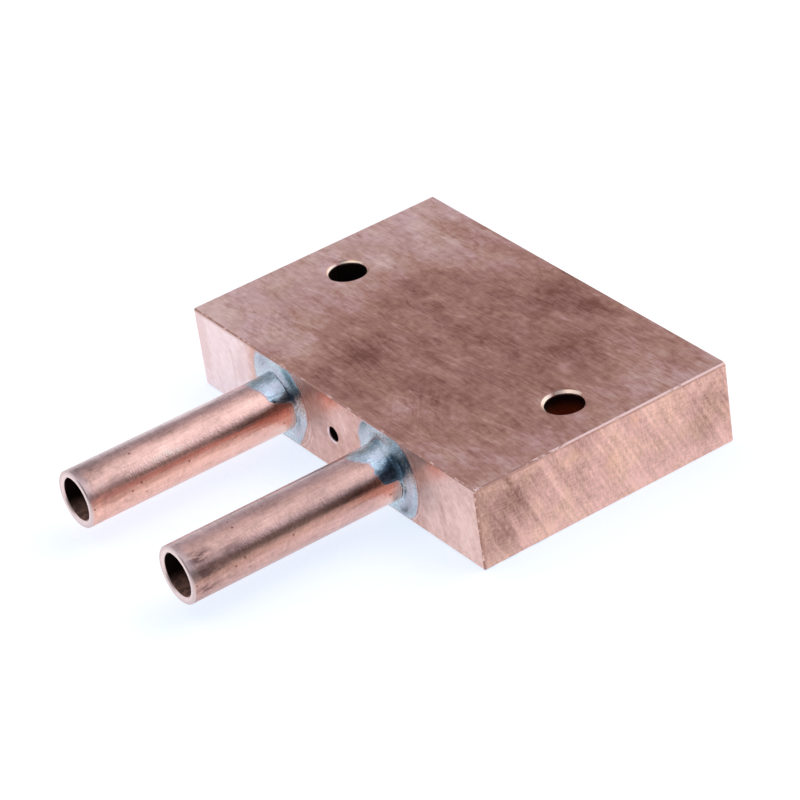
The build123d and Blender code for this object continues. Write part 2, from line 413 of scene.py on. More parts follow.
front_patches = flat_patches(
    "y", front,
    (-21.7, 6.6, 1.3, 3.2, -0.45), (-23.4, 6.0, 0.35, 6.0, -0.35), (-30.6, 8.0, 2.2, 9.0, -0.45),
    (-20.6, 8.5, 1.8, 5.0, -0.30), (-5.8, 10.0, 3.0, 3.4, -0.34), (2.6, 9.0, 3.0, 3.6, 0.35),
    (1.5, 1.2, 3.5, 2.2, 0.25), (-3.6, 4.0, 1.4, 3.0, 0.12), (28.0, 5.0, 3.6, 4.6, 0.22),
    (21.5, 2.2, 3.0, 2.4, 0.14), (23.7, 5.0, 0.9, 4.5, -0.28), (19.6, 9.5, 2.6, 3.0, -0.26),
)
end_patches = flat_patches(
    "x", 0,
    (-18.2, 6.6, 6.4, 8.2, -0.44), (-13.4, 9.0, 5.6, 5.4, -0.32), (-4.2, 6.7, 2.4, 2.6, -0.18),
    (-2.5, 11.0, 5.0, 2.2, -0.28), (1.8, 8.4, 2.2, 1.6, -0.12), (7.6, 10.6, 3.6, 2.2, 0.16),
    (10.6, 7.0, 1.6, 4.5, -0.12), (16.2, 6.4, 5.4, 6.2, -0.36), (-18.0, 2.4, 6.5, 3.6, -0.24),
    (-15.0, 10.8, 2.2, 1.8, 0.14), (15.0, 11.0, 4.0, 2.0, 0.10),
    depth=60,
)
# Where the top has slanting scratches, and where it has short ticks across the block
slanted_patches = flat_patches("z", top, (12.0, -13.0, 9.0, 7.0, 1.0), (-20.0, -15.0, 8.0, 6.0, 0.8))
crossed_patches = flat_patches("z", top, (-14.0, 15.5, 6.0, 3.5, 1.0), (20.0, -6.0, 6.0, 4.0, 0.7))
# Copper dulled by flux, on the side of each pipe that reflects the pipe
dulled_patches = flat_patches("y", front, (-4.8, 8.8, 5.8, 6.2, 0.9), (19.2, 8.4, 5.8, 6.2, 0.9))
# Orange spots on the right end
warm_patches = flat_patches(
    "x", right_end,
    (4.9, 10.4, 1.1, 1.3, 0.8), (-5.0, 9.8, 2.6, 1.4, 0.45), (0.8, 5.6, 1.6, 3.0, 0.40),
)
# Rings round the right of each pool: dark rings of flux, and pale rings that are painted highlights beside
# them:
# radius, width, strength, pale or not
flux_and_highlight_rings = {
    "inlet": (
        (6.25, 0.14, 0.5, False), (6.55, 0.12, 0.3, True), (6.95, 0.08, 0.5, False), (7.15, 0.08, 0.4, True),
    ),
    "outlet": ((6.92, 0.10, 0.7, False), (7.12, 0.10, 0.6, True)),
}


def block_material(copper):
    """Copper block: sanded top and underside, milled front and back, sawn ends, rubbed edges, and painted
    shade and highlights at its holes, edges and solder rings.
    """
    material, nodes, place = new_metal("copper block")
    facing = nodes.split(nodes.vector("ABSOLUTE", nodes.add("ShaderNodeTexCoord").outputs["Normal"]))
    ends, fronts, flats = (nodes.step(across, 0.85, 0.95) for across in facing)
    mottle = nodes.uneven(place, 0.9, 4.0, 0.65)
    clouds = nodes.uneven(place, (0.10, 0.17, 0.17), 3.0, 0.55)
    top_colour, top_height = sanded_finish(nodes, place, mottle, clouds, copper)
    front_colour, front_height = milled_finish(nodes, place, mottle, copper)
    end_colour, end_height = sawn_finish(nodes, place, mottle, clouds, copper)

    # A cast that drifts over the top and the ends, mauve in places and olive in others
    drift = nodes.noise(place, (0.16, 0.24, 0.24), 3.0, 0.6)
    cast = nodes.mix(nodes.step(drift, 0.38, 0.62), copper.mauve_cast, copper.olive_cast)
    top_colour = nodes.mix(1.0, top_colour, cast, "MULTIPLY")
    end_colour = nodes.mix(1.0, end_colour, cast, "MULTIPLY")
    colour = nodes.mix(flats, nodes.mix(fronts, end_colour, front_colour), top_colour)
    colour, breaks, faces = edge_marks(nodes, place, (ends, fronts, flats), colour, copper)
    colour = draw_flux_and_highlight_rings(nodes, place, mottle, colour, copper)
    colour, deep, lip = hole_marks(nodes, place, facing[2], colour, top_colour, copper)

    dull = nodes.product(nodes.spots(place, dulled_patches), fronts)
    broken = nodes.product(nodes.math("SUBTRACT", 1.0, faces), breaks)
    height = nodes.total(
        (nodes.product(top_height, flats), 0.6),
        (nodes.product(front_height, fronts), 0.8),
        (nodes.product(end_height, ends), 0.7),
        (broken, 1.0),
    )
    roughness = nodes.total((flats, 0.14), (ends, 0.10), (faces, -0.15), plus=0.42)
    metallic = nodes.total((deep, -0.5), (lip, -0.1), (dull, -1.0), plus=1.0)
    finish_metal(nodes, colour, roughness, metallic, height, 0.06, 0.7)
    return material


def sanded_finish(nodes, place, mottle, clouds, copper):
    """Colour and height of the top: lines sanded along the block that wander, crossed by short ones.

    It is darkest in the middle and palest towards its left and right ends.
    """
    x, y, z = nodes.split(place)
    wander = nodes.noise(place, (0.07, 0.2, 0.2), 1.0)
    sanding = nodes.scratches(nodes.join(x, nodes.math("MULTIPLY_ADD", wander, 1.6, y), z), 0, 2.4, 0.14)
    fine = nodes.scratches(place, 4, 3.4, 0.45, 0.12)
    crossing = nodes.scratches(place, -13, 3.2, 0.45, 0.12)
    dark_lines = nodes.scratches(place, 5, 1.5, 0.22, output="Lines")
    pale_lines = nodes.scratches(place, -8, 1.2, 0.16, output="Lines")
    dashes = nodes.step(nodes.scratches(place, -24, 2.8, 0.7, 0.0), 0.11, 0.19)
    dashes = nodes.product(dashes, nodes.step(x, -8, 8, 1.0, 0.4))
    glints = nodes.step(nodes.scratches(place, 9, 3.4, 0.26, 0.0), 0.12, 0.20)
    slant = nodes.product(nodes.scratches(place, 38, 3.2, 0.4), nodes.spots(place, slanted_patches))
    ticks = nodes.product(nodes.scratches(place, 96, 2.2, 0.5), nodes.spots(place, crossed_patches))
    patches = nodes.uneven(place, (0.25, 0.42, 0.42), 3.0, 0.6, 0.6)
    rows = nodes.total((nodes.step(y, -17, -9, 0.12, 0.0), 1.0), (nodes.step(y, 8, 14, 0.0, 0.06), 1.0))
    level = nodes.total(
        (sanding, 0.42), (fine, 0.34), (crossing, 0.30),
        (dark_lines, -0.12), (pale_lines, 0.12), (dashes, -0.13), (glints, 0.08), (slant, 0.8), (ticks, 0.4),
        (mottle, 0.55), (patches, 0.65), (clouds, 0.5), (nodes.spots(place, top_patches), 0.85),
        (nodes.step(x, -31, -4, 0.49, 0.0), 1.0), (nodes.step(x, 14, 30, 0.0, 0.23), 1.0),
        (rows, nodes.step(nodes.math("ABSOLUTE", x), 2, 12, 0.3, 1.0)),
        plus=0.285,
    )
    middle = 0.45
    colour = nodes.mix(nodes.math("DIVIDE", level, middle), copper.sanded_dark, copper.sanded_brown_and_band_shade)
    paler = nodes.math("DIVIDE", nodes.math("SUBTRACT", level, middle), 1 - middle)
    height = nodes.total((sanding, 0.6), (fine, 1.0), (crossing, 0.6))
    return nodes.mix(paler, colour, copper.sanded_pale), height


def milled_finish(nodes, place, mottle, copper):
    """Colour and height of the front: steep milling marks, paler on the right, and palest at the left end,
    where the pale copper is partly a painted reflection.

    The back has the marks alone. A dark line runs just below the front's top edge.
    """
    x, y, z = nodes.split(place)
    bow = nodes.math("MULTIPLY_ADD", nodes.product(z, z), 0.02, x)
    milling = nodes.scratches(nodes.join(z, bow, y), 8, 1.5, 0.28)
    on_front = nodes.fall(y, front + 0.5, front + 1.0)
    level = nodes.total(
        (milling, 1.1),
        (mottle, nodes.math("MULTIPLY_ADD", on_front, 0.8, 0.5)),
        (nodes.step(x, 17.5, 22.0, 0.0, 0.36), on_front),
        (nodes.spots(place, front_patches), 1.0),
        plus=0.36,
    )
    level = nodes.math("ADD", level, 0.0, clamp=True)
    colour = nodes.mix(level, copper.milled_dark, copper.milled_pale)
    # Left of the inlet pipe the front turns pale, partly a painted reflection
    left = nodes.product(nodes.fall(x, -20.5, -17.5), on_front, nodes.total((level, 0.5), plus=0.68))
    colour = nodes.mix(left, colour, copper.pale_copper_and_sheen)
    fainter = nodes.step(x, -18, -14, 0.55, 0.1)
    below_edge = nodes.product(nodes.step(z, top - 0.8, top - 0.2), fainter, on_front)
    colour = nodes.mix(below_edge, colour, copper.worn_dark)
    return colour, nodes.total((mottle, on_front), (milling, 1.0))


def sawn_finish(nodes, place, mottle, clouds, copper):
    """Colour and height of the ends: steep saw marks crossed by level and upright ones, brown blotches."""
    x, y, z = nodes.split(place)
    end_place = nodes.join(y, z, x)
    steep = nodes.scratches(end_place, 65, 1.9, 0.22)
    flat = nodes.scratches(end_place, 3, 4.0, 0.9, 0.15)
    upright = nodes.scratches(end_place, 86, 4.0, 0.8, 0.15)
    streaks = nodes.scratches(end_place, 68, 1.1, 0.07, 0.7)
    saw_pitch = 0.74
    phase = nodes.total((y, 0.91 * 2 * pi / saw_pitch), (z, 0.42 * 2 * pi / saw_pitch), (clouds, 5.0))
    saw = nodes.product(nodes.math("SINE", phase), nodes.step(y, -14, -6))
    blurred_y = nodes.total((mottle, 3.0), (streaks, 9.0), (y, 1.0))
    blurred_z = nodes.total((mottle, 5.0), (z, 1.0))
    blotches = nodes.spots(nodes.join(0.0, blurred_y, blurred_z), end_patches)
    level = nodes.total(
        (steep, 0.9), (streaks, 0.7), (saw, 0.035), (flat, 0.75), (upright, 0.8),
        (mottle, 0.45), (clouds, 0.35), (blotches, 0.66), (nodes.step(z, 1.0, 3.2, 0.13, 0.0), 1.0),
        plus=0.745,
    )
    colour = nodes.mix(level, copper.end_dark, copper.end_pale)
    warm = nodes.product(nodes.spots(place, warm_patches), nodes.step(mottle, -0.16, 0.12, 0.1, 0.8))
    height = nodes.total((steep, 1.0), (flat, 1.0), (upright, 1.0))
    return nodes.mix(warm, colour, copper.end_warm), height


def edge_marks(nodes, place, faces, colour, copper):
    """The copper's colour with worn edges: dark stretches, and bright burrs that are partly painted
    highlight, most of them at the back right.

    It comes with the noise that breaks the edges up, and with a mask of the faces between them.
    """
    x, y, z = nodes.split(place)
    ends, fronts, flats = faces
    any_face = nodes.math("MAXIMUM", nodes.math("MAXIMUM", ends, fronts), flats)
    breaks = nodes.noise(place, (0.8, 0.55, 1.2), 4.0, 0.65)
    back_right = nodes.product(nodes.step(x, right_end - 0.55, right_end - 0.35), nodes.step(y, -13.0, -4.0))
    front_top = nodes.product(nodes.fall(y, front + 0.1, front + 0.3), nodes.step(z, top - 0.4, top - 0.2))
    # Where the burrs are bright, partly a painted highlight
    threshold = nodes.total((back_right, -0.20), (front_top, 0.04), plus=0.57)
    bright = nodes.step(nodes.math("SUBTRACT", breaks, threshold), -0.10, 0.08)
    edge_colour = nodes.mix(bright, copper.worn_dark, copper.burr_and_highlight)

    # Just below the top edge of the right end runs a dark line, and another beside the front right corner
    below_top = nodes.band(z, top - 0.45, top - 0.28, 0.14)
    below_top = nodes.product(below_top, nodes.step(x, right_end - 0.15, right_end - 0.05))
    corner = nodes.fall(y, front + 0.25, front + 0.65)
    strength = nodes.step(breaks, 0.34, 0.52, 0.25, 0.65)
    lines = nodes.product(nodes.math("MAXIMUM", below_top, corner), ends, strength)
    colour = nodes.mix(lines, colour, copper.worn_dark)
    return nodes.mix(any_face, edge_colour, colour), breaks, any_face


def draw_flux_and_highlight_rings(nodes, place, mottle, colour, copper):
    """The copper's colour with dark rings that flux left, and pale rings of painted highlight, on the right
    of the two solder pools.
    """
    x, y, z = nodes.split(place)
    on_front = nodes.fall(y, front + 0.05, front + 0.1)
    broken = nodes.step(mottle, -0.14, 0.06, 0.25, 1.0)
    for name, rings in flux_and_highlight_rings.items():
        centre = (pipe_axis_x[name] / MM, 0, pipe_axis_z / MM)
        away = nodes.vector("SUBTRACT", nodes.join(x, 0.0, z), centre)
        radius = nodes.math("MULTIPLY_ADD", mottle, 0.7, nodes.vector("LENGTH", away))
        here = nodes.product(on_front, nodes.step(nodes.split(away)[0], 2.0, 4.5), broken)
        for ring_radius, width, strength, pale in rings:
            line = nodes.band(radius, ring_radius - width / 2, ring_radius + width / 2, width * 0.8)
            # A pale ring is a painted highlight
            shade = copper.ring_highlight if pale else copper.flux_colour
            colour = nodes.mix(nodes.product(line, here, strength), colour, shade)
    return colour


def hole_marks(nodes, place, facing_up, colour, top_colour, copper):
    """The copper's colour with dark bores and bright lips at the holes, and masks of the bores and lips.

    A fixing hole's lip has a painted highlight in two stretches on its far left side, with a gap between
    them, and the bores are painted shade, the right one with a painted warm glow low inside. The probe hole's
    lip has a painted highlight at its lower left.
    """
    x, y, z = nodes.split(place)
    beside = nodes.math("SUBTRACT", x, nodes.product(nodes.math("SIGN", x), hole_x))
    from_hole = nodes.vector("LENGTH", nodes.join(beside, y))
    at_lip = nodes.math("LESS_THAN", from_hole, hole_radius + lip_width)
    slopes = nodes.product(nodes.fall(facing_up, 0.85, 0.95), at_lip)
    turn = nodes.math("ARCTAN2", nodes.product(y, -1.0), nodes.product(beside, -1.0))
    turn = nodes.math("MULTIPLY_ADD", nodes.uneven(place, 3.0, 2.0), 0.5, turn)
    # The lips' painted highlight, in two stretches
    first, second = nodes.band(turn, 0.25, 1.35, 0.35), nodes.band(turn, -1.25, -0.45, 0.3)
    limit = nodes.step(x, -5.0, 5.0, top - 0.14, top - 0.03)
    wide = nodes.fall(nodes.math("SUBTRACT", z, limit), -0.05, 0.05)
    bright = nodes.product(nodes.math("MAXIMUM", first, second), wide)
    slope_colour = nodes.mix(bright, nodes.mix(0.6, top_colour, copper.worn_dark), copper.lip_highlight)
    colour = nodes.mix(slopes, colour, slope_colour)

    # The bores are painted shade, and the right one has a painted warm glow low down
    in_hole = nodes.math("LESS_THAN", from_hole, hole_radius + 0.05)
    deep = nodes.product(in_hole, nodes.fall(facing_up, 0.3, 0.5), nodes.fall(z, top - 0.6, top - 0.38))
    warm_glow = nodes.product(nodes.step(x, 20.0, 21.0), nodes.fall(z, top - 3.4, top - 1.1))
    colour = nodes.mix(deep, colour, nodes.mix(warm_glow, copper.bore_shade, copper.bore_glow_colour))

    probe_centre = (0.0, 0.0, pipe_axis_z / MM)
    from_probe = nodes.vector("LENGTH", nodes.vector("SUBTRACT", nodes.join(x, 0.0, z), probe_centre))
    # The probe hole's lip has a painted highlight at its lower left, and its bore is painted shade
    low_left = nodes.fall(nodes.math("ADD", x, z), 5.0, 6.2)
    at_front = nodes.fall(y, front + 0.05, front + 0.2)
    probe_lip = nodes.product(nodes.band(from_probe, 1.0, 1.30, 0.12), at_front, low_left)
    colour = nodes.mix(probe_lip, colour, copper.pale_copper_and_sheen)
    behind_front = nodes.band(y, front + 0.3, 0.0, 0.2)
    probe_bore = nodes.product(nodes.math("LESS_THAN", from_probe, probe_radius), behind_front)
    colour = nodes.mix(probe_bore, colour, copper.bore_shade)
    return colour, nodes.math("MAXIMUM", deep, probe_bore), nodes.product(bright, slopes)


# Painted shade and highlight, how much paler (+) or darker (-) each pipe is: on top, on the upper left, at
# the free end high up and low down, in a band beside the top all along and by the block, and underneath by
# the block
pipe_painted_shading = {
    "inlet": (-0.14, 0.0, -0.26, 0.04, 0.16, -0.50, 0.08),
    "outlet": (0.0, -0.22, 0.0, -0.04, -0.06, -0.46, 0.14),
}
# Smudges near the pipes' free ends, from the pipe's axis: centre, half sizes, and strength
pipe_smudges = {
    "inlet": (
        ((1.4, -50.0, 3.6), (1.6, 2.4, 1.6), 0.35),
        ((3.3, -47.6, 2.2), (1.2, 3.0, 1.2), 0.40),
        ((3.9, -48.5, 0.6), (1.2, 2.4, 1.2), 0.35),
    ),
    "outlet": (
        ((2.6, -50.0, 3.0), (1.6, 3.0, 1.4), 1.1),
        ((3.8, -49.4, 1.3), (1.6, 3.6, 1.3), 1.4),
        ((3.9, -50.0, -0.8), (1.2, 2.8, 1.0), 0.9),
        ((3.2, -45.4, 2.4), (1.4, 2.8, 1.2), 0.5),
    ),
}


def pipe_material(copper, name):
    """Drawn copper tube: fine grain across it, tarnish, brown smudges at the free end, a few dark pits, and
    painted shade, highlights and reflections.
    """
    material, nodes, place = new_metal(f"copper {name} pipe")
    place = nodes.mapping(place, location=(-pipe_axis_x[name] / MM, 0, -pipe_axis_z / MM))
    x, y, z = nodes.split(place)
    mottle = nodes.uneven(place, 1.1, 4.0, 0.65)
    grain = nodes.uneven(place, (1.6, 3.4, 1.6), 3.0, 0.7)
    drawn = nodes.uneven(place, (3.0, 0.45, 3.0), 2.0, 0.6)
    clouds = nodes.uneven(place, (0.3, 0.14, 0.3), 2.0)
    at_end = nodes.fall(y, free_end, free_end + 11.0)
    by_block = nodes.step(y, -36.0, -26.0)
    to_right = nodes.step(x, 0.0, 1.0)
    to_left = nodes.math("SUBTRACT", z, x)
    upper_left = nodes.step(to_left, 3.9, 5.0)

    upper_colour, under_colour = getattr(copper, f"{name}_upper"), getattr(copper, f"{name}_under")
    # Low on the pipe the copper turns to its under colour, painted light and shade
    colour = nodes.mix(nodes.fall(z, 2.1, 3.0), upper_colour, under_colour)
    # Tarnish along the upper left, partly a painted sheen, and then a painted pale sheen on the shoulder
    colour = nodes.mix(nodes.step(to_left, 2.2, 4.6), colour, copper.tarnish_and_reflection)
    colour = nodes.mix(nodes.product(upper_left, 0.4), colour, copper.pale_copper_and_sheen)
    # A painted highlight low on the pipe by the block, in the inlet's upper copper
    highlight_by_collar = nodes.product(nodes.step(y, -26.0, -21.5), nodes.fall(z, 0.5, 2.0))
    colour = nodes.mix(nodes.product(highlight_by_collar, 0.7), colour, copper.inlet_upper)
    # A painted dark reflection: a brown band low on the right of each pipe
    dark_band = nodes.product(nodes.band(z, 0.3, 1.6, 0.7), to_right, 0.75)
    colour = nodes.mix(dark_band, colour, copper.sanded_brown_and_band_shade if name == "outlet" else copper.inlet_band_shade)

    # The painted shade and highlight of each part, random tone, and thin lines rubbed across the pipe and
    # rolled round it
    on_top, left, end_high, end_low, side, side_by_block, under_by_block = pipe_painted_shading[name]
    high, low = nodes.step(z, 2.6, 3.5), nodes.fall(z, 0.6, 1.6)
    around = nodes.product(nodes.math("ARCTAN2", x, z), pipe_radius / MM)
    unrolled = nodes.join(around, y)
    strength = nodes.total(
        (grain, 0.42),
        (mottle, nodes.math("MULTIPLY_ADD", at_end, 0.5, 0.38)),
        (drawn, 0.4),
        (clouds, 0.6),
        (nodes.scratches(unrolled, 20, 1.6, 0.3, output="Lines"), -0.08),
        (nodes.scratches(unrolled, 80, 1.2, 0.14, output="Lines"), -0.10),
        (nodes.step(z, 3.5, 3.95), on_top),
        (upper_left, left),
        (nodes.product(at_end, high), end_high),
        (nodes.product(at_end, low), end_low),
        (nodes.product(nodes.band(z, 1.2, 2.3, 0.6), to_right), side),
        (nodes.product(by_block, nodes.band(z, 1.4, 2.1, 0.6), to_right), side_by_block),
        (nodes.product(by_block, low), under_by_block),
        (highlight_by_collar, 0.12),
        plus=1.0,
    )
    colour = nodes.vector("SCALE", colour, strength)
    streaky = nodes.step(nodes.noise(place, (1.6, 0.45, 1.6), 3.0, 0.6), 0.36, 0.60)
    smudges = nodes.math("MULTIPLY", nodes.spots(place, pipe_smudges[name]), streaky, clamp=True)
    colour = nodes.mix(smudges, colour, copper.smudge_colour)
    pits = nodes.group("Specks", {"Vector": place, "Spacing": 1.3, "Radius": 0.20, "Share": 0.26})["Mask"]
    colour = nodes.mix(nodes.product(pits, 0.9), colour, copper.pit_colour)

    # The cut end is dull outside and fresh at the bore, and the last of the pipe is dulled by handling
    handled = nodes.step(y, free_end + 0.3, free_end + 1.6, 0.5, 0.0)
    handled = nodes.product(handled, nodes.step(z, -1.0, 2.5))
    colour = nodes.mix(handled, colour, copper.rim_grey)
    from_axis = nodes.vector("LENGTH", nodes.join(x, 0.0, z))
    cut = nodes.product(nodes.fall(y, free_end + 0.16, free_end + 0.22), nodes.step(from_axis, 2.75, 2.85))
    ragged = nodes.total((nodes.noise(place, 4.0, 3.0, 0.7), 2.0), (from_axis, 1.0), plus=-1.0)
    cut_colour = nodes.mix(nodes.fall(ragged, 3.15, 3.75), copper.rim_grey, copper.rim_colour)
    colour = nodes.mix(cut, colour, cut_colour)
    # The bore is painted shade, with painted light along its floor
    bore = nodes.product(nodes.fall(from_axis, 3.1, 3.3), nodes.step(y, free_end + 0.15, free_end + 0.35))
    bottom = nodes.product(nodes.fall(z, -2.9, -1.2), nodes.step(mottle, -0.1, 0.1, 0.5, 1.0))
    colour = nodes.mix(bore, colour, nodes.mix(bottom, copper.bore_shade, copper.lit_bore_floor))

    roughness = nodes.total((at_end, 0.10), (smudges, 0.15), plus=0.23)
    metallic = nodes.total((bore, -0.5), plus=1.0)
    height = nodes.total((grain, 1.0), (mottle, 0.4), (drawn, 0.4))
    finish_metal(nodes, colour, roughness, metallic, height, 0.04, 0.6)
    return material


def solder_material(solder):
    """Soft solder: glossy, with teal bloom, lilac stains that are partly painted highlight, dark specks and
    dark lines that are partly painted crease shade, navy that is partly tarnish and partly painted dark
    reflection and shade, and a copper fringe.

    The vertices' "marks" say where bloom, stains and painted highlights, dark specks and painted crease
    shade, and navy painted dark reflection are, and their "cover" where the fringe is.
    """
    material, nodes, place = new_metal("solder")
    marks = nodes.add("ShaderNodeAttribute", attribute_name="marks").outputs
    cover = nodes.add("ShaderNodeAttribute", attribute_name="cover").outputs["Fac"]
    bloom, stain_and_highlight, dirt_and_shade = nodes.split(marks["Color"])
    clouds = nodes.noise(place, 0.8)
    grain = nodes.noise(place, 3.2, 3.0, 0.7)
    fine = nodes.noise(place, 9.0, 2.0, 0.6)
    wrinkles = nodes.noise(place, (3.4, 1.1, 3.4), 2.0, 0.65)
    patchy = nodes.total((clouds, 0.8), (grain, 1.6), plus=-0.2)
    colour = nodes.mix(nodes.product(bloom, patchy), solder.colour, solder.bloom_colour)
    # Lilac stains, partly painted highlights
    colour = nodes.mix(nodes.product(stain_and_highlight, patchy), colour, solder.stain_and_highlight_colour)
    # Navy, partly painted dark reflection and shade
    colour = nodes.mix(marks["Alpha"], colour, solder.tarnish_and_reflection)
    # Dark specks, and dark crease lines that are partly painted shade
    specks = nodes.step(nodes.total((dirt_and_shade, 0.3), (grain, 1.0)), 0.60, 0.72)
    colour = nodes.mix(nodes.product(dirt_and_shade, 1.3, specks), colour, solder.dirt_and_shade_colour)
    shade = nodes.total((grain, 0.8), (fine, 0.8), (wrinkles, 1.5), plus=-1.53)
    shade = nodes.math("MULTIPLY_ADD", shade, nodes.step(stain_and_highlight, 0.2, 0.9, 1.0, 0.4), 1.0)
    colour = nodes.vector("SCALE", colour, shade)
    ragged = nodes.total((grain, 0.7), (cover, 1.0), plus=-0.35)
    colour = nodes.mix(nodes.step(ragged, 0.05, 0.7), solder.fringe_colour, colour)
    roughness = nodes.total((stain_and_highlight, 0.30), (dirt_and_shade, 0.12), (grain, 0.12), plus=solder.roughness - 0.04)
    metallic = nodes.total((stain_and_highlight, -0.5), plus=1.0)
    height = nodes.total((grain, 1.0), (wrinkles, 0.8))
    finish_metal(nodes, colour, roughness, metallic, height, 0.09, 0.6)
    return material


def plug_material(copper):
    """The plug's end: copper sanded flush, with patches of oxide from cloudy noise at two sizes."""
    material, nodes, place = new_metal("copper plug")
    clouds = nodes.noise(place, 1 / 3, 4.0, 0.6, 0.4)
    fine = nodes.noise(place, 5 / 3, 3.0, 0.6)
    oxide = nodes.product(nodes.step(nodes.total((clouds, 0.65), (fine, 0.35)), 0.36, 0.66), 0.6)
    x, y, z = nodes.split(place)
    lines = nodes.group("Fine scratches", {"Vector": nodes.join(y, z, x), "Across": 5.0, "Along": 0.2})
    colour = nodes.mix(oxide, copper.end_pale, copper.end_dark)
    colour = nodes.mix(nodes.product(lines["Mask"], 0.25), colour, copper.worn_dark)
    finish_metal(nodes, colour, 0.4, 1.0, lines["Height"], 0.05, 0.7)
    return material


